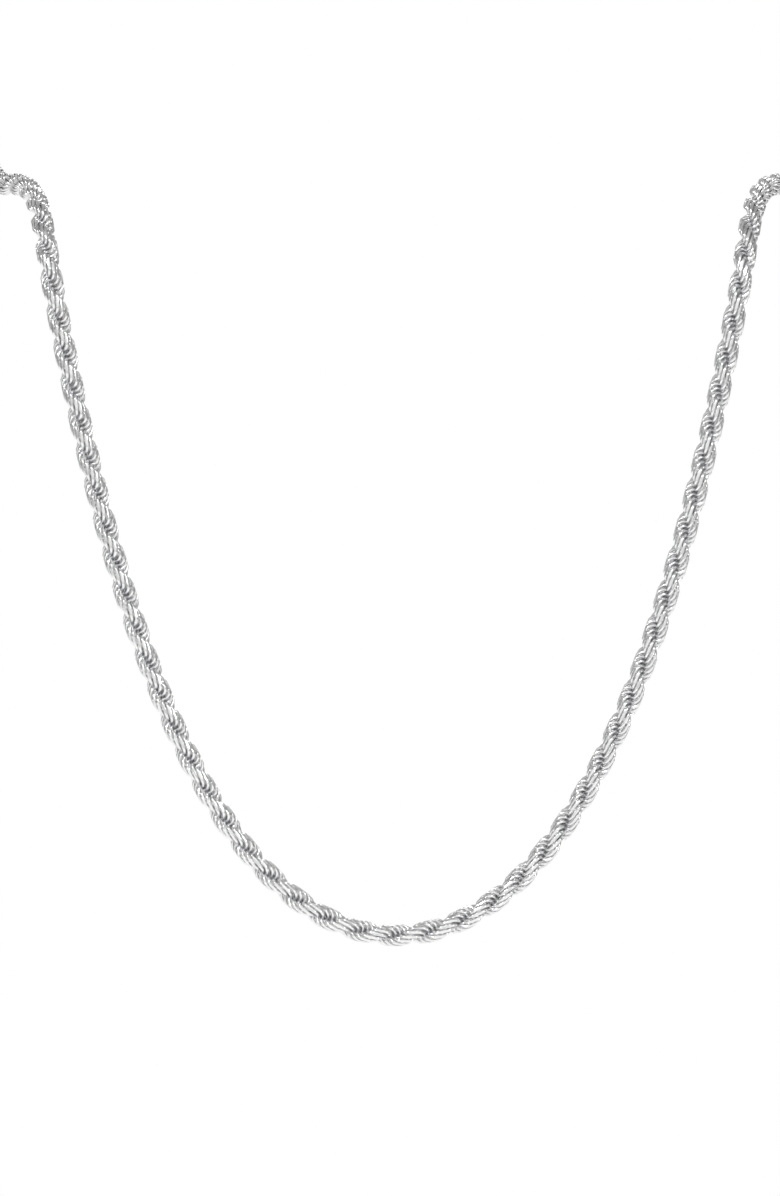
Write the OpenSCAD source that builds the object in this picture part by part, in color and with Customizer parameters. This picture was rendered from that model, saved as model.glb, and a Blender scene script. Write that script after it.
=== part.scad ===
// Rope-chain necklace, hanging as it is worn, millimetres, +Z up.
// The origin is the middle of the neck opening, level with the collar bones. The front of the
// chain hangs in a catenary at -Y, bends back over the shoulders and rises to the clasp at +Y.
// The rope is cut into short runs of bumps. Every run is a separate piece, and neighbouring
// runs turn about the waist between them, where rings of the real chain hook into each other.

/* [Rope] */
// Width of the rope at the middle of a bump
rope_d = 3.0; // [2.7:0.1:3.1]
// Width of the rope at the waist between two bumps
waist_d = 1.9; // [1.8:0.1:2.1]
// Length of one bump, half a turn of the two strands
bump_l = 4.69; // [4.65:0.01:4.72]
// Distance from a waist that turns to the centre of each ball tip beside it
tip_back = 0.95; // [0.93:0.01:1.0]
// Radius of the ball tips at a waist that turns
tip_r = 0.85; // [0.8:0.01:0.86]

/* [Drape] */
// Radius of the front curve at its lowest point, the catenary's parameter
drape_a = 19; // [18.9:0.1:19.1]
// Height of the origin above the lowest point of the rope's centreline
drape_drop = 96.2; // [96:0.1:96.5]
// Distance of the drape in front of the neck's axis
drape_front = 45; // [44:0.5:46]
// Height at which the drape starts to bend back over the shoulder
bend_z = -13; // [-13.5:0.5:-12.5]
// Pull of the bend's ends, the Bezier handle length
bend_pull = 12; // [11.5:0.5:12.5]

/* [Neck] */
// Radius of the chain's ring round the neck
neck_r = 57.2; // [57:0.1:57.6]
// Half the width at which the bend reaches the ring
side_x = 52; // [51.8:0.1:52.2]
// Height of the ring where the bend reaches it
side_z = 4; // [3.8:0.1:4.2]
// Height of the clasp at the nape
nape_z = 40; // [39.5:0.5:40.5]
// Angle from the front at which the ring has reached the nape's height
rise_end = 118; // [117:1:119]

/* [Hardware] */
// Outside diameter of the end caps
cap_d = 3.9; // [3.8:0.1:4.1]
// Wire diameter of the jump ring
jump_wire = 0.7; // [0.6:0.05:0.75]
// Middle diameter of the jump ring
jump_d = 3.8; // [3.7:0.1:3.9]
// Wire diameter of the end ring that the clasp hooks into
end_wire = 0.8; // [0.7:0.05:0.9]
// Middle diameter of the end ring
end_d = 4.4; // [4.3:0.1:4.5]
// Thickness of the clasp's body at the lever's pivot
clasp_t = 2.6; // [2.5:0.1:2.8]
// Thickness of the clasp's claw and tail
claw_t = 1.5; // [1.4:0.1:1.5]

/* [Hidden] */
$fn = 48;
LAST_RUN = 25;    // runs on each side of the front run
SLACK = 0.1;      // gap between pieces that hook into each other

// Name of a run of bumps on one side
function run_name(side, n) = str("links_", side, "_", n < 10 ? "0" : "", n);
SIDES = ["right", "left"];
HARDWARE = ["end_cap_right", "end_cap_left", "end_ring", "jump_ring",
            "clasp_body", "clasp_lever", "clasp_rivet", "clasp_spring"];

// ---- Route of the right half, as points from the lowest one to the nape ----
function acosh(v) = ln(v + sqrt(v * v - 1));
function cosh(v) = (exp(v) + exp(-v)) / 2;
function sinh(v) = (exp(v) - exp(-v)) / 2;
bend_u = acosh(1 + (drape_drop + bend_z) / drape_a);
function drape(u) = [drape_a * u, -drape_front, drape_a * (cosh(u) - 1) - drape_drop];
side_phi = asin(side_x / neck_r);
function ease(t) = t * t * (3 - 2 * t);
function ring(phi) = [neck_r * sin(phi), -neck_r * cos(phi),
    side_z + (nape_z - side_z) * ease(min(1, (phi - side_phi) / (rise_end - side_phi)))];
bend_from = drape(bend_u);
bend_to = ring(side_phi);
bend_out = [1, 0, sinh(bend_u)] / cosh(bend_u) * bend_pull;
bend_in = [cos(side_phi), sin(side_phi), 0] * bend_pull;
function bend(t) = pow(1 - t, 3) * bend_from + 3 * pow(1 - t, 2) * t * (bend_from + bend_out)
    + 3 * (1 - t) * t * t * (bend_to - bend_in) + t * t * t * bend_to;
STEPS = 160;
route = concat([for (i = [0:STEPS]) drape(bend_u * i / STEPS)],
               [for (i = [1:STEPS]) bend(i / STEPS)],
               [for (i = [1:STEPS]) ring(side_phi + (180 - side_phi) * i / STEPS)]);
steps_l = [for (i = [1:len(route) - 1]) norm(route[i] - route[i - 1])];
lengths = [for (i = 0, l = 0; i < len(route); l = l + (i < len(steps_l) ? steps_l[i] : 0),
    i = i + 1) l];
tables = [for (axis = [0:2]) [for (i = [0:len(route) - 1]) [lengths[i], route[i][axis]]]];
// Point of the rope's centreline at a length from the lowest point, negative on the left
function at(l) = [sign(l) * lookup(abs(l), tables[0]), lookup(abs(l), tables[1]),
                  lookup(abs(l), tables[2])];

// Length of waist k, where waists 0 and 1 bound the bump right of the lowest one
function waist(k) = (k + 0.5) * bump_l;
// First and last waist of a run: the front run has three bumps, the last runs have three too
function run_from(n) = 1 + 2 * (n - 1);
function run_to(n) = run_from(n) + (n == LAST_RUN ? 3 : 2);
rope_end = waist(run_to(LAST_RUN));

// Turns +Z to a direction
module along(d) rotate([0, acos(d[2] / norm(d)), atan2(d[1], d[0])]) children();

// Half width of a bump at a distance from its middle
function bump_r(z) = rope_d / 2 - (rope_d - waist_d) / 2 * pow(2 * z / bump_l, 2);

// End of a bump's outline, from the axis outwards: a ball tip, or a stub inside a waist ball
function outline_end(half, ball) = ball
    ? [for (turn = [0, 25, 50, 75]) [tip_r * sin(turn), half - tip_back + tip_r * cos(turn)]]
    : [[0, half - stub_back], [stub_r, half - stub_back]];
stub_back = 0.5;
stub_r = 0.85;
waist_ball = waist_d / 2 + 0.15;

// One bump from point p to point q, as a barrel that narrows towards its waists
module bump(p, q, ball_p = false, ball_q = false) {
    half = norm(q - p) / 2;
    low = outline_end(half, ball_p);
    belly = half - tip_back;
    translate((p + q) / 2) along(q - p) rotate_extrude() polygon(concat(
        [for (point = low) [point[0], -point[1]]],
        [for (i = [-2:2]) [bump_r(belly * i / 2), belly * i / 2]],
        [for (i = [3:-1:0]) if (ball_q || i < 2) outline_end(half, ball_q)[i]]));
}

// A run of bumps between two waists: barrels, balls at the waists inside, tips at its ends
module run(from, to) color("silver") {
    for (k = [from:to - 1])
        bump(at(waist(k)), at(waist(k + 1)), k == from, k == to - 1);
    for (k = [from + 1:to - 1]) translate(at(waist(k)))
        along(at(waist(k + 1)) - at(waist(k - 1))) sphere(waist_ball);
}

// ---- Hardware ----
// Cup that closes the rope, with the eye that the next ring hooks into
cap_wall = 1.62;
cap_eye_r = 0.95;
cap_eye_wire = 0.33;
cap_neck = 1.9;
cap_out = at(rope_end) - at(waist(run_to(LAST_RUN) - 1));
cap_dir = cap_out / norm(cap_out);
cap_eye = at(rope_end) + cap_dir * (cap_neck + cap_eye_r);
module end_cap() color("silver") {
    translate(at(rope_end)) along(cap_dir) {
        rotate_extrude() polygon([[cap_wall, -2.6], [cap_d / 2, -2.6], [cap_d / 2, 0.4],
            [1.1, 1.5], [0.6, cap_neck], [0, cap_neck], [0, 0.3], [cap_wall, 0.3]]);
        translate([0, 0, cap_neck + cap_eye_r]) rotate([90, 0, 0])
            torus(cap_eye_r, cap_eye_wire);
    }
}

// Ring of wire about Z
module torus(middle_r, wire_r)
    rotate_extrude() translate([middle_r, 0]) circle(wire_r);

// The clasp lies between the two cap eyes, flat in a plane that faces the back
clasp_tail = [-cap_eye[0] + jump_d, cap_eye[1], cap_eye[2]];
hook_u = cap_eye[0] - end_d - clasp_tail[0];
module jump_ring() color("silver")
    translate([-cap_eye[0] + jump_d / 2, cap_eye[1], cap_eye[2]]) torus(jump_d / 2, jump_wire / 2);
module end_ring() color("silver")
    translate([cap_eye[0] - end_d / 2, cap_eye[1], cap_eye[2]]) torus(end_d / 2, end_wire / 2);

// Clasp outline in its own plane: u along the clasp from the tail eye, v up
tail_r = 1.4;
tail_eye_r = 0.8;
claw_r = 3.1;
mouth_r = 2.0;
claw_u = hook_u + end_wire / 2 + 2.5 * SLACK - mouth_r;
mouth_u = claw_u - 4.3;
pivot = [claw_u - 6.5, 0.75];
pivot_r = 0.9;
rivet_r = 0.35;
RUNNING = 0.05;   // radial clearance of the lever on its rivet

// Pear shape round two circles
module pear(u1, r1, u2, r2) hull() {
    translate([u1, 0]) circle(r1);
    translate([u2, 0]) circle(r2);
}
module clasp_outline() pear(0, tail_r, claw_u, claw_r);
module mouth() pear(mouth_u, 1.1, claw_u, mouth_r);
// Side of the claw that the lever closes. Its far end leans back, so the lever swings in freely
module gate(grow = 0)
    polygon([[pivot[0] + 1.3 - grow, 0.2 - grow], [claw_u + 1.2 + grow, 0.2 - grow],
             [claw_u - 0.1 + grow, 4], [pivot[0] + 0.2 - grow, 4]]);

// Puts a plate drawn in the clasp's plane where the clasp lies
module plate(t, w = 0) translate(clasp_tail + [0, w, 0]) rotate([90, 0, 0])
    linear_extrude(t, center = true) children();
lever_t = 1.1;
slot_t = 1.7;
lever_w = -0.2;

module clasp_body() color("silver") difference() {
    union() {
        plate(claw_t) clasp_outline();
        plate(clasp_t) intersection() {
            clasp_outline();
            translate([pivot[0] - 1.6, -4]) square([3.6, 8]);
        }
    }
    plate(clasp_t + 1) {
        mouth();
        circle(tail_eye_r);
        gate(SLACK);
        translate(pivot) circle(rivet_r);
    }
    plate(slot_t) translate(pivot + [-1.1, -1.15]) square([3, 4]);
}

module clasp_lever() color("silver") plate(lever_t, lever_w) difference() {
    union() {
        intersection() {
            difference() {
                clasp_outline();
                mouth();
            }
            gate();
        }
        translate(pivot) circle(pivot_r);
        translate(pivot + [0.2, 0.1]) square([1.7, 1.0]);
        translate([pivot[0] + 1.9, 2.7]) circle(0.75);
    }
    translate(pivot) circle(rivet_r + RUNNING);
}

module clasp_rivet() color("gainsboro")
    plate(clasp_t) translate(pivot) circle(rivet_r);

// Torsion spring beside the lever, one coil round the rivet
spring_wire = 0.11;
module clasp_spring() color("dimgray")
    translate(clasp_tail + [pivot[0], slot_t / 2 - 0.18, pivot[1]]) rotate([90, 0, 0])
        torus(0.58, spring_wire);

run(-2, 1);  // links_front
for (n = [1:LAST_RUN]) {
    run(run_from(n), run_to(n));
    mirror([1, 0, 0]) run(run_from(n), run_to(n));
}
end_cap();  // end_cap_right
mirror([1, 0, 0]) end_cap();  // end_cap_left
end_ring();
jump_ring();
clasp_body();
clasp_lever();
clasp_rivet();
clasp_spring();
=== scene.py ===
from math import acosh, asin, cos, cosh, pi, radians, sin, sinh

import bmesh
import bpy
import numpy as np
from mathutils import Matrix, Vector


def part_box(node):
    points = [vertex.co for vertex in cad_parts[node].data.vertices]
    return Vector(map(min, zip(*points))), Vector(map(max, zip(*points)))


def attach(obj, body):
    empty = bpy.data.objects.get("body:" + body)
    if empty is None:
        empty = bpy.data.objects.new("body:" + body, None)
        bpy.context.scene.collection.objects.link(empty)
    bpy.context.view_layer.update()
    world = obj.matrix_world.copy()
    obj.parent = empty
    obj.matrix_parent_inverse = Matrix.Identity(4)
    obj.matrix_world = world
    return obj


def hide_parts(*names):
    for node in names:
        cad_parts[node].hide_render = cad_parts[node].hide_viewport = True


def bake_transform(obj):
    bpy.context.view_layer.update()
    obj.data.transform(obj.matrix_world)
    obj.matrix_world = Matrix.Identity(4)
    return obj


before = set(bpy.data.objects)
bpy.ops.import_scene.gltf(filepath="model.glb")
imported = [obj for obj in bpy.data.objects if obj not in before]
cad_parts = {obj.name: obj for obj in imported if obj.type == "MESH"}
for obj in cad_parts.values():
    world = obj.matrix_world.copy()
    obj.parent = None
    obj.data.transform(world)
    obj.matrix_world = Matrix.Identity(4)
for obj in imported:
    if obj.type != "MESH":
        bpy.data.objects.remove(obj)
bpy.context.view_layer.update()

MM = 0.001
rng = np.random.default_rng(7)

# ---- Route of the rope, as in part.scad ----
BUMP = 4.69 * MM            # half a turn of the two strands
DRAPE_A, DRAPE_DROP, DRAPE_FRONT = 19 * MM, 96.2 * MM, 45 * MM
BEND_Z, BEND_PULL = -13 * MM, 12 * MM
NECK_R, SIDE_X, SIDE_Z, NAPE_Z = 57.2 * MM, 52 * MM, 4 * MM, 40 * MM
RISE_END = radians(118)
STEPS = 160
LAST_RUN = 25               # runs of bumps on each side of the front run
LAST_HINGE = 16             # the runs beyond this one don't turn
ROPE_END = (2 * LAST_RUN + 2.5) * BUMP
SIDES = (("right", 1), ("left", -1))


def ease(t):
    """Rises from 0 to 1, level at both ends."""
    return t * t * (3 - 2 * t)


def drape(u):
    """The front, a catenary."""
    return np.array([DRAPE_A * u, -DRAPE_FRONT, DRAPE_A * (cosh(u) - 1) - DRAPE_DROP])


BEND_U = acosh(1 + (DRAPE_DROP + BEND_Z) / DRAPE_A)
SIDE_PHI = asin(SIDE_X / NECK_R)


def neck_ring(phi):
    """The ring round the neck, by the angle from the front, rising to the nape."""
    rise = min(1, (phi - SIDE_PHI) / (RISE_END - SIDE_PHI))
    height = SIDE_Z + (NAPE_Z - SIDE_Z) * ease(rise)
    return np.array([NECK_R * sin(phi), -NECK_R * cos(phi), height])


def bend(t):
    """From the drape back over the shoulder to the ring, t from 0 to 1."""
    first, last = drape(BEND_U), neck_ring(SIDE_PHI)
    out = np.array([1, 0, sinh(BEND_U)]) / cosh(BEND_U) * BEND_PULL
    into = np.array([cos(SIDE_PHI), sin(SIDE_PHI), 0]) * BEND_PULL
    return ((1 - t) ** 3 * first + 3 * (1 - t) ** 2 * t * (first + out)
            + 3 * (1 - t) * t ** 2 * (last - into) + t ** 3 * last)


def unit(v):
    return v / np.linalg.norm(v, axis=-1, keepdims=True)


class Route:
    """The rope's centreline by its length from the lowest point, negative on the left, with a frame
    that doesn't twist: across runs up the front at the lowest point, and deep runs away from the front."""

    def __init__(self):
        half = [drape(BEND_U * i / STEPS) for i in range(STEPS + 1)]
        half += [bend(i / STEPS) for i in range(1, STEPS + 1)]
        half += [neck_ring(SIDE_PHI + (pi - SIDE_PHI) * i / STEPS) for i in range(1, STEPS + 1)]
        half = np.array(half)
        length = np.concatenate([[0], np.cumsum(np.linalg.norm(np.diff(half, axis=0), axis=1))])
        mirrored = half[:0:-1] * [-1, 1, 1]
        self.s = np.concatenate([-length[:0:-1], length])
        self.p = np.vstack([mirrored, half])
        along = unit(np.gradient(self.p, self.s, axis=0))
        self.deep = np.zeros_like(self.p)
        middle = len(half) - 1
        self.deep[middle] = [0, 1, 0]
        for side in (1, -1):
            for i in range(1, len(half)):
                here, before = middle + side * i, middle + side * (i - 1)
                flat = self.deep[before] - along[here] * (self.deep[before] @ along[here])
                self.deep[here] = unit(flat)
        self.across = np.cross(self.deep, along)

    def at(self, s, table=None):
        """The centreline's points at lengths s, or the frame's directions there."""
        table = self.p if table is None else table
        return np.stack([np.interp(s, self.s, table[:, i]) for i in range(3)], axis=-1)

    def place(self, local):
        """Points given as across, deep and length."""
        s = local[..., 2]
        return (self.at(s) + local[..., :1] * self.at(s, self.across)
                + local[..., 1:2] * self.at(s, self.deep))


route = Route()


def waist(k):
    """Length at waist k, where waists 0 and -1 bound the lowest bump."""
    return (k + 0.5) * BUMP


# ---- Camera, in front of the drape, level, as far off as a product camera ----
CAMERA_AWAY = 1.3
CAMERA_X, CAMERA_Z = -0.86 * MM, -51.6 * MM
FRAME_HEIGHT = 158.2 * MM   # what the picture's height covers at the drape
SENSOR = 36
FAR = 20                    # how far the camera sees
camera_data = bpy.data.cameras.new("camera")
camera_data.sensor_width = SENSOR
camera_data.lens = SENSOR * CAMERA_AWAY / FRAME_HEIGHT
camera_data.clip_end = FAR
camera = bpy.data.objects.new("camera", camera_data)
bpy.context.collection.objects.link(camera)
camera.location = (CAMERA_X, -DRAPE_FRONT - CAMERA_AWAY, CAMERA_Z)
camera.rotation_euler = (radians(90), 0, 0)
bpy.context.scene.camera = camera
bpy.context.scene.view_settings.view_transform = "Standard"


# ---- Materials ----
MIX_FIRST, MIX_SECOND, MIX_RESULT = 6, 7, 2     # colour sockets of a Mix node
CLOUD_SCALE, LINE_SCALE = 900, 6000             # noise scales of the silver's shade and its polishing
LINE_STRENGTH, LINE_DEPTH = 0.06, 0.02 * MM


class Nodes:
    """A node material that starts with a Principled BSDF."""

    def __init__(self, name):
        self.material = bpy.data.materials.new(name)
        self.material.use_nodes = True
        self.tree = self.material.node_tree
        self.shader = self.tree.nodes["Principled BSDF"]

    def add(self, kind, **values):
        node = self.tree.nodes.new(kind)
        for key, value in values.items():
            if hasattr(node, key):
                setattr(node, key, value)
            else:
                node.inputs[key.replace("_", " ")].default_value = value
        return node

    def link(self, out, into):
        self.tree.links.new(out, into)

    def ramp(self, factor, stops):
        node = self.add("ShaderNodeValToRGB")
        node.color_ramp.elements[0].position = stops[0][0]
        node.color_ramp.elements[1].position = stops[-1][0]
        for position, _ in stops[1:-1]:
            node.color_ramp.elements.new(position)
        for element, (_, colour) in zip(node.color_ramp.elements, stops):
            element.color = (*colour, 1)
        self.link(factor, node.inputs["Fac"])
        return node.outputs["Color"]


def silver(name, light, dull, rough_low, rough_high, recess_shade_colour=None, brushed=(1, 1, 1)):
    """Polished silver: cloudy shade and gloss, fine polishing lines, and painted shade that darkens the
    recesses to a grey.
    """
    m = Nodes(name)
    place = m.add("ShaderNodeTexCoord").outputs["Object"]
    clouds = m.add("ShaderNodeTexNoise", Scale=CLOUD_SCALE, Detail=3)
    m.link(place, clouds.inputs["Vector"])
    shade = m.ramp(clouds.outputs["Fac"], [(0.35, dull), (0.65, light)])
    # Painted shade: the colour turns to the recess grey where a point lies deep in the rope
    if recess_shade_colour:
        recess_shade_depth = m.add("ShaderNodeAttribute", attribute_name="recess_shade_depth")
        mix = m.add("ShaderNodeMix", data_type="RGBA")
        m.link(recess_shade_depth.outputs["Fac"], mix.inputs["Factor"])
        m.link(shade, mix.inputs[MIX_FIRST])
        mix.inputs[MIX_SECOND].default_value = (*recess_shade_colour, 1)
        shade = mix.outputs[MIX_RESULT]
    m.link(shade, m.shader.inputs["Base Color"])
    m.shader.inputs["Metallic"].default_value = 1
    stretch = m.add("ShaderNodeMapping", vector_type="POINT")
    stretch.inputs["Scale"].default_value = brushed
    m.link(place, stretch.inputs["Vector"])
    lines = m.add("ShaderNodeTexNoise", Scale=LINE_SCALE, Detail=4)
    m.link(stretch.outputs["Vector"], lines.inputs["Vector"])
    gloss = m.add("ShaderNodeMapRange", From_Min=0.3, From_Max=0.7, To_Min=rough_low, To_Max=rough_high)
    m.link(lines.outputs["Fac"], gloss.inputs["Value"])
    m.link(gloss.outputs["Result"], m.shader.inputs["Roughness"])
    bump = m.add("ShaderNodeBump", Strength=LINE_STRENGTH, Distance=LINE_DEPTH)
    m.link(lines.outputs["Fac"], bump.inputs["Height"])
    m.link(bump.outputs["Normal"], m.shader.inputs["Normal"])
    return m.material


# The rope's recess grey is painted shade, darkening the wires where they lie deep in the rope
rope_silver = silver("rope_silver", (0.97, 0.97, 0.965), (0.90, 0.90, 0.905), 0.07, 0.16,
                     recess_shade_colour=(0.70, 0.70, 0.71))
hardware_silver = silver("hardware_silver", (0.89, 0.89, 0.885), (0.81, 0.815, 0.82), 0.10, 0.20,
                         brushed=(1, 1, 5))
spring_steel = silver("spring_steel", (0.62, 0.62, 0.63), (0.50, 0.50, 0.52), 0.22, 0.35)


# ---- Meshes ----
SHARP = radians(35)         # edges that turn by more than this stay crisp
SAME_PLACE = MM / 10000     # points nearer than this are one point


def mesh_object(name, points, faces, material, merge=False):
    mesh = bpy.data.meshes.new(name)
    mesh.from_pydata(np.asarray(points).tolist(), [], faces)
    if merge:
        shape = bmesh.new()
        shape.from_mesh(mesh)
        bmesh.ops.remove_doubles(shape, verts=shape.verts, dist=SAME_PLACE)
        shape.to_mesh(mesh)
        shape.free()
    mesh.polygons.foreach_set("use_smooth", [True] * len(mesh.polygons))
    mesh.set_sharp_from_angle(angle=SHARP)
    mesh.materials.append(material)
    obj = bpy.data.objects.new(name, mesh)
    bpy.context.collection.objects.link(obj)
    return obj


def grid_faces(rows, columns, closed_rows):
    """Quads over a grid of points, row by row, closed round the columns."""
    last = rows if closed_rows else rows - 1
    return [(i * columns + j, (i + 1) % rows * columns + j,
             (i + 1) % rows * columns + (j + 1) % columns, i * columns + (j + 1) % columns)
            for i in range(last) for j in range(columns)]


def end_faces(rows, columns):
    """The two flat ends of a grid that is closed round its columns."""
    return [tuple(range(columns)), tuple(range(rows * columns - 1, (rows - 1) * columns - 1, -1))]


# ---- Rope: open wire rings of two strands, each ring through its neighbours ----
RINGS_A_BUMP = 16
RING_STEP = BUMP / RINGS_A_BUMP
RING_R = 1.10 * MM          # middle of the wire
WIRE_R = 0.20 * MM
RING_OUT = 0.37 * MM        # how far a ring's centre lies off the rope's axis
RING_TURN = radians(84)     # from lying across the rope to standing along it
RING_LONG = 1.25            # a ring's length along the rope, over its width
RING_LEAN = -1              # side that a ring leans to, as seen from outside
RING_SWING = radians(-15)   # turn of a standing ring about the rope
RING_UNEVEN = 0.02          # spread of the rings' turn and swing, in radians
ROPE_R = 1.47 * MM          # the outside is shaved down to this
RING_GAP = radians(5)       # open part of a ring, on the inside of the rope
ALONG, ROUND = 40, 12       # points along a ring and round its wire
RECESS_SHADE_FROM, RECESS_SHADE_TO = 1.15 * MM, 0.6 * MM    # from the rope's axis: where the painted shade in the recesses starts, and is full
TRAVEL = pi - pi * RING_STEP / BUMP     # from a ring to the next, in the other strand


def wire_ring(k):
    """Ring k of the rope, across, deep and along it, from the ring's place along the rope."""
    angle = k * TRAVEL
    out = np.array([cos(angle), sin(angle), 0])
    side = np.array([-sin(angle), cos(angle), 0])
    up = np.array([0, 0, 1])
    turn = RING_TURN + rng.normal(0, RING_UNEVEN)
    swing = RING_SWING + rng.normal(0, RING_UNEVEN)
    normal = cos(swing) * (cos(turn) * up + RING_LEAN * sin(turn) * side) + sin(swing) * out
    first = unit(out - normal * (out @ normal))
    second = np.cross(normal, first)
    t = np.linspace(-pi + RING_GAP / 2, pi - RING_GAP / 2, ALONG)[:, None, None]
    a = np.linspace(0, 2 * pi, ROUND, endpoint=False)[None, :, None]
    middle = RING_R * (np.cos(t) * first + RING_LONG * np.sin(t) * second)
    spoke = unit(RING_LONG * np.cos(t) * first + np.sin(t) * second)
    points = RING_OUT * out + middle + WIRE_R * (np.cos(a) * spoke + np.sin(a) * normal)
    radius = np.linalg.norm(points[..., :2], axis=-1)
    points[..., :2] *= np.minimum(1, ROPE_R / np.maximum(radius, MM / 10))[..., None]
    return points, np.minimum(radius, ROPE_R)


RING_FACES = grid_faces(ALONG, ROUND, False) + end_faces(ALONG, ROUND)


def rope_piece(name, start, end):
    """The rings whose centres lie between two lengths of the rope."""
    points, faces, recess_shade_depth = [], [], []
    for k in range(int(np.ceil(start / RING_STEP)), int(np.ceil(end / RING_STEP))):
        local, radius = wire_ring(k)
        local[..., 2] += k * RING_STEP
        first = len(points) * ALONG * ROUND
        points.append(route.place(local).reshape(-1, 3))
        recess_shade_depth.append(radius.ravel())
        faces += [tuple(first + i for i in face) for face in RING_FACES]
    piece = mesh_object(name, np.vstack(points), faces, rope_silver)
    # Painted shade in the recesses: full where a point lies deepest in the rope, none at the outside
    fade = np.clip((RECESS_SHADE_FROM - np.concatenate(recess_shade_depth)) / (RECESS_SHADE_FROM - RECESS_SHADE_TO), 0, 1)
    piece.data.attributes.new("recess_shade_depth", "FLOAT", "POINT").data.foreach_set("value", fade)
    return piece


front = rope_piece("rope_front", -waist(2), waist(2))
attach(front, "run_right_01")
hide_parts("links_front")
CAP_DEPTH = 1.2 * MM        # how far the last rings' centres stay inside the rope's end
for side, sign in SIDES:
    for n in range(1, LAST_RUN + 1):
        ends = (waist(2 * n), min(waist(2 * n + 2), ROPE_END - CAP_DEPTH))
        piece = rope_piece(f"rope_{side}_{n:02d}", *sorted(sign * s for s in ends))
        if n <= LAST_HINGE:
            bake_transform(piece)
        else:
            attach(piece, "back_of_chain")
        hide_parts(f"links_{side}_{n:02d}")


# ---- Hardware ----
def low(node):
    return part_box(node)[0]


def high(node):
    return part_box(node)[1]


def middle(node):
    return (Vector(low(node)) + Vector(high(node))) / 2


def cast(node, name, body, voxel, soften):
    """A cast piece in the shape of a CAD node, remeshed in millimetres with its edges rounded off."""
    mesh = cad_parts[node].data.copy()
    mesh.transform(Matrix.Scale(1 / MM, 4))
    rough = bpy.data.objects.new("rough", mesh)
    bpy.context.collection.objects.link(rough)
    remesh = rough.modifiers.new("remesh", "REMESH")
    remesh.mode, remesh.voxel_size = "VOXEL", voxel
    smooth = rough.modifiers.new("smooth", "SMOOTH")
    smooth.factor, smooth.iterations = 0.5, soften
    seen = rough.evaluated_get(bpy.context.evaluated_depsgraph_get())
    final = bpy.data.meshes.new_from_object(seen)
    bpy.data.objects.remove(rough)
    final.transform(Matrix.Scale(MM, 4))
    final.name = name
    final.materials.clear()
    final.materials.append(hardware_silver)
    final.polygons.foreach_set("use_smooth", [True] * len(final.polygons))
    piece = bpy.data.objects.new(name, final)
    bpy.context.collection.objects.link(piece)
    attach(piece, body)
    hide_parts(node)


def wire(name, centre, radius, path, body, node=None, around=20, closed=False,
         material=hardware_silver):
    """A round wire along a path of points about a centre, with flat ends unless it is closed."""
    path = np.array(path)
    along = unit(np.roll(path, -1, axis=0) - np.roll(path, 1, axis=0) if closed
                 else np.gradient(path, axis=0))
    axis = unit(np.cross(path[0] - path[len(path) // 3], path[0] - path[len(path) // 2]))
    across = unit(np.cross(along, axis))
    over = np.cross(across, along)
    turn = np.linspace(0, 2 * pi, around, endpoint=False)[None, :, None]
    points = path[:, None] + radius * (np.cos(turn) * across[:, None] + np.sin(turn) * over[:, None])
    faces = grid_faces(len(path), around, closed)
    if not closed:
        faces += end_faces(len(path), around)
    piece = mesh_object(name, points.reshape(-1, 3) + np.array(centre), faces, material)
    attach(piece, body)
    if node:
        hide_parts(node)


CUT = radians(4)            # the slit where a wire ring was opened and closed up again
RING_POINTS = 72


def open_ring(name, node, wire_r, body, open_at):
    """A wire ring lying level, with its slit at an angle."""
    radius = (high(node)[0] - low(node)[0]) / 2 - wire_r
    turns = np.linspace(open_at + CUT / 2, open_at + 2 * pi - CUT / 2, RING_POINTS)
    path = [(radius * cos(t), radius * sin(t), 0) for t in turns]
    wire(name, middle(node), wire_r, path, body, node)


open_ring("jump_ring_wire", "jump_ring", 0.35 * MM, "jump_ring", radians(70))
open_ring("end_ring_wire", "end_ring", 0.40 * MM, "end_ring", radians(-60))


def revolved(name, outline, start, direction, body, node, around):
    """A turned piece from (radius, height) points about an axis, closed where the radius is 0."""
    axis = unit(np.array(direction))
    first = unit(np.cross(axis, [0, 0, 1]))
    second = np.cross(axis, first)
    turn = np.linspace(0, 2 * pi, around, endpoint=False)
    rim = np.cos(turn)[:, None] * first + np.sin(turn)[:, None] * second
    points = np.array([start + axis * height + radius * rim for radius, height in outline])
    piece = mesh_object(name, points.reshape(-1, 3), grid_faces(len(outline), around, False),
                        hardware_silver, merge=True)
    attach(piece, body)
    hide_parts(node)


# End caps: a turned cup with a beaded rim and a groove, soldered to an eye of wire.
# The outline is (radius, height) in millimetres, from the tip, over the rim, to the cup's floor.
CUP = [(0.0, 1.95), (0.60, 1.82), (0.72, 1.68), (0.92, 1.55), (1.20, 1.30), (1.83, 0.50),
       (1.92, 0.32), (1.95, 0.15), (1.95, -1.90), (1.93, -2.02), (1.86, -2.10), (1.86, -2.20),
       (1.97, -2.30), (1.99, -2.50), (1.93, -2.66), (1.80, -2.72), (1.68, -2.66), (1.62, -2.52),
       (1.60, 0.45), (0.0, 0.45)]
CUP_ROUND = 48
EYE_R, EYE_WIRE, EYE_UP = 0.95 * MM, 0.33 * MM, 2.85 * MM
EYE_POINTS = 60
for side, sign in SIDES:
    end = route.at(sign * ROPE_END)
    out = unit(end - route.at(sign * (ROPE_END - BUMP)))
    revolved(f"end_cap_{side}_cup", [(r * MM, z * MM) for r, z in CUP], end, out, "back_of_chain",
             f"end_cap_{side}", CUP_ROUND)
    level = unit(np.cross([0, 0, 1], out))
    up = np.cross(out, level)
    turns = np.linspace(0, 2 * pi, EYE_POINTS, endpoint=False)
    eye = [EYE_R * (-cos(t) * out + sin(t) * up) for t in turns]
    wire(f"end_cap_{side}_eye", end + out * EYE_UP, EYE_WIRE, eye, "back_of_chain", closed=True)

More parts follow.
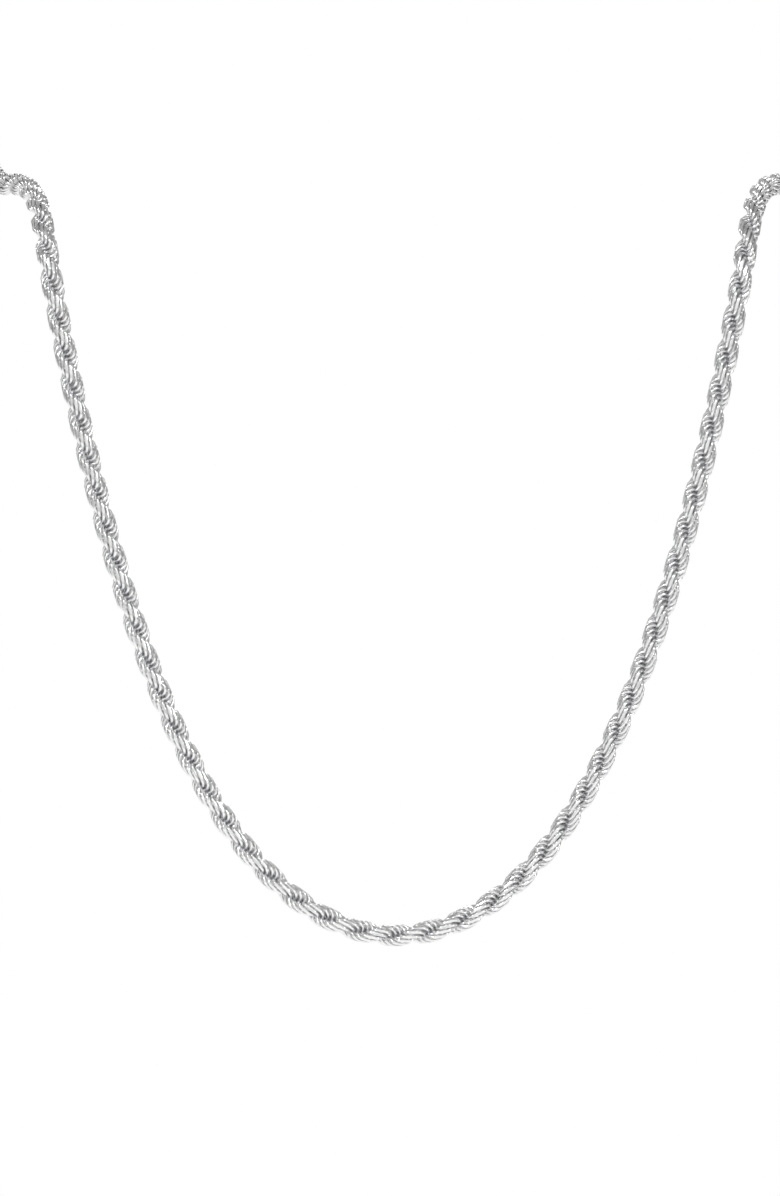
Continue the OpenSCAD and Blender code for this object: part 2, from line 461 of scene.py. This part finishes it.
# Clasp: its body and lever, with the voxel in millimetres and the rounds of smoothing
cast("clasp_body", "clasp_body_cast", "clasp", 0.08, 12)
cast("clasp_lever", "clasp_lever_cast", "clasp_lever", 0.06, 10)

# Rivet with a low domed head on both sides: (radius, height) beyond the clasp's faces
RIVET_ROUND = 32
DOME = [(0, 0.14 * MM), (0.25 * MM, 0.12 * MM), (0.43 * MM, 0.06 * MM), (0.52 * MM, 0),
        (0.35 * MM, -0.02 * MM)]
rivet_half = (high("clasp_rivet")[1] - low("clasp_rivet")[1]) / 2
outline = [(r, rivet_half + y) for r, y in DOME]
outline += [(r, -y) for r, y in reversed(outline)]
revolved("clasp_rivet_domed", outline, np.array(middle("clasp_rivet")), (0, 1, 0), "clasp",
         "clasp_rivet", RIVET_ROUND)

# Torsion spring: two turns of wire round the rivet
SPRING_R, SPRING_WIRE = 0.58 * MM, 0.09 * MM
SPRING_TURNS, SPRING_POINTS = 2, 73
spring_deep = high("clasp_spring")[1] - low("clasp_spring")[1]
coil = [(SPRING_R * cos(t), spring_deep * (t / (2 * pi * SPRING_TURNS) - 0.5), SPRING_R * sin(t))
        for t in np.linspace(0, 2 * pi * SPRING_TURNS, SPRING_POINTS)]
wire("clasp_spring_coil", middle("clasp_spring"), SPRING_WIRE, coil, "clasp", "clasp_spring",
     around=10, material=spring_steel)


# ---- Floor, lights and surroundings ----
FLOOR_Z = -0.30
FLOOR_R = 1.9
FLOOR_ROUND = 96
FADE_FROM, FADE_TO = 0.8, 1.8    # the floor's edge fades into the white backdrop


def floor_paper():
    """Matt white paper that fades out towards the floor's edge."""
    m = Nodes("floor_paper")
    grain = m.add("ShaderNodeTexNoise", Scale=60, Detail=3)
    m.link(m.ramp(grain.outputs["Fac"], [(0.3, (0.90, 0.90, 0.90)), (0.7, (0.92, 0.92, 0.92))]),
           m.shader.inputs["Base Color"])
    m.shader.inputs["Roughness"].default_value = 0.9
    from_middle = m.add("ShaderNodeVectorMath", operation="LENGTH")
    m.link(m.add("ShaderNodeTexCoord").outputs["Object"], from_middle.inputs[0])
    fade = m.add("ShaderNodeMapRange", From_Min=FADE_FROM, From_Max=FADE_TO, To_Min=1.0, To_Max=0.0)
    m.link(from_middle.outputs["Value"], fade.inputs["Value"])
    m.link(fade.outputs["Result"], m.shader.inputs["Alpha"])
    return m.material


floor_turns = [2 * pi * i / FLOOR_ROUND for i in range(FLOOR_ROUND)]
disc = bpy.data.meshes.new("floor")
disc.from_pydata([(FLOOR_R * cos(t), FLOOR_R * sin(t), FLOOR_Z) for t in floor_turns], [],
                 [tuple(range(FLOOR_ROUND))])
disc.materials.append(floor_paper())
floor = bpy.data.objects.new("floor", disc)
bpy.context.collection.objects.link(floor)

LIT = Vector((0, 0, -0.04))     # the lights point at the middle of the drape


def area_light(name, place, size, power):
    """A square light: its width in metres and its power in watts."""
    data = bpy.data.lights.new(name, "AREA")
    data.size, data.energy = size, power
    light = bpy.data.objects.new(name, data)
    bpy.context.collection.objects.link(light)
    light.location = place
    light.rotation_euler = (LIT - Vector(place)).to_track_quat("-Z", "Y").to_euler()
    return light


area_light("key", (-0.7, -1.0, 0.9), 0.35, 5)
area_light("fill", (0.9, -0.9, 0.4), 0.3, 2)
area_light("back", (0.2, 1.1, 0.9), 0.5, 3)
overhead = area_light("overhead", (0, 0, 1.4), 1.2, 10)
overhead.visible_glossy = False     # lights the floor, and makes no glare on the silver

# Surroundings: white where the camera sees them, and graded grey where the silver reflects them
world = bpy.data.worlds.new("studio")
bpy.context.scene.world = world
world.use_nodes = True
nodes, links = world.node_tree.nodes, world.node_tree.links
nodes.clear()
direction = nodes.new("ShaderNodeTexCoord")
split = nodes.new("ShaderNodeSeparateXYZ")
links.new(direction.outputs["Generated"], split.inputs["Vector"])


def graded(axis, stops):
    """Grey by the direction along an axis, from -1 to 1."""
    spread = nodes.new("ShaderNodeMapRange")
    spread.inputs["From Min"].default_value = -1
    links.new(split.outputs[axis], spread.inputs["Value"])
    ramp = nodes.new("ShaderNodeValToRGB")
    for _ in stops[2:]:
        ramp.color_ramp.elements.new(0.5)
    for element, (place, grey) in zip(ramp.color_ramp.elements, stops):
        element.position = (place + 1) / 2
        element.color = (grey, grey, grey, 1)
    links.new(spread.outputs["Result"], ramp.inputs["Fac"])
    return ramp.outputs["Color"]


ahead = graded("Y", [(-1, 1.0), (-0.75, 0.9), (-0.15, 0.30), (0.2, 0.32), (0.7, 0.56), (1, 0.72)])
height = graded("Z", [(-1, 0.45), (-0.1, 0.75), (0.3, 1.0)])
grade = nodes.new("ShaderNodeMix")
grade.data_type, grade.blend_type = "RGBA", "MULTIPLY"
grade.inputs["Factor"].default_value = 1
links.new(ahead, grade.inputs[MIX_FIRST])
links.new(height, grade.inputs[MIX_SECOND])
room = nodes.new("ShaderNodeBackground")
links.new(grade.outputs[MIX_RESULT], room.inputs["Color"])
backdrop = nodes.new("ShaderNodeBackground")
backdrop.inputs["Color"].default_value = (1, 1, 1, 1)
ray = nodes.new("ShaderNodeLightPath")
choose = nodes.new("ShaderNodeMixShader")
links.new(ray.outputs["Is Camera Ray"], choose.inputs["Fac"])
links.new(room.outputs["Background"], choose.inputs[1])
links.new(backdrop.outputs["Background"], choose.inputs[2])
surface = nodes.new("ShaderNodeOutputWorld")
links.new(choose.outputs["Shader"], surface.inputs["Surface"])
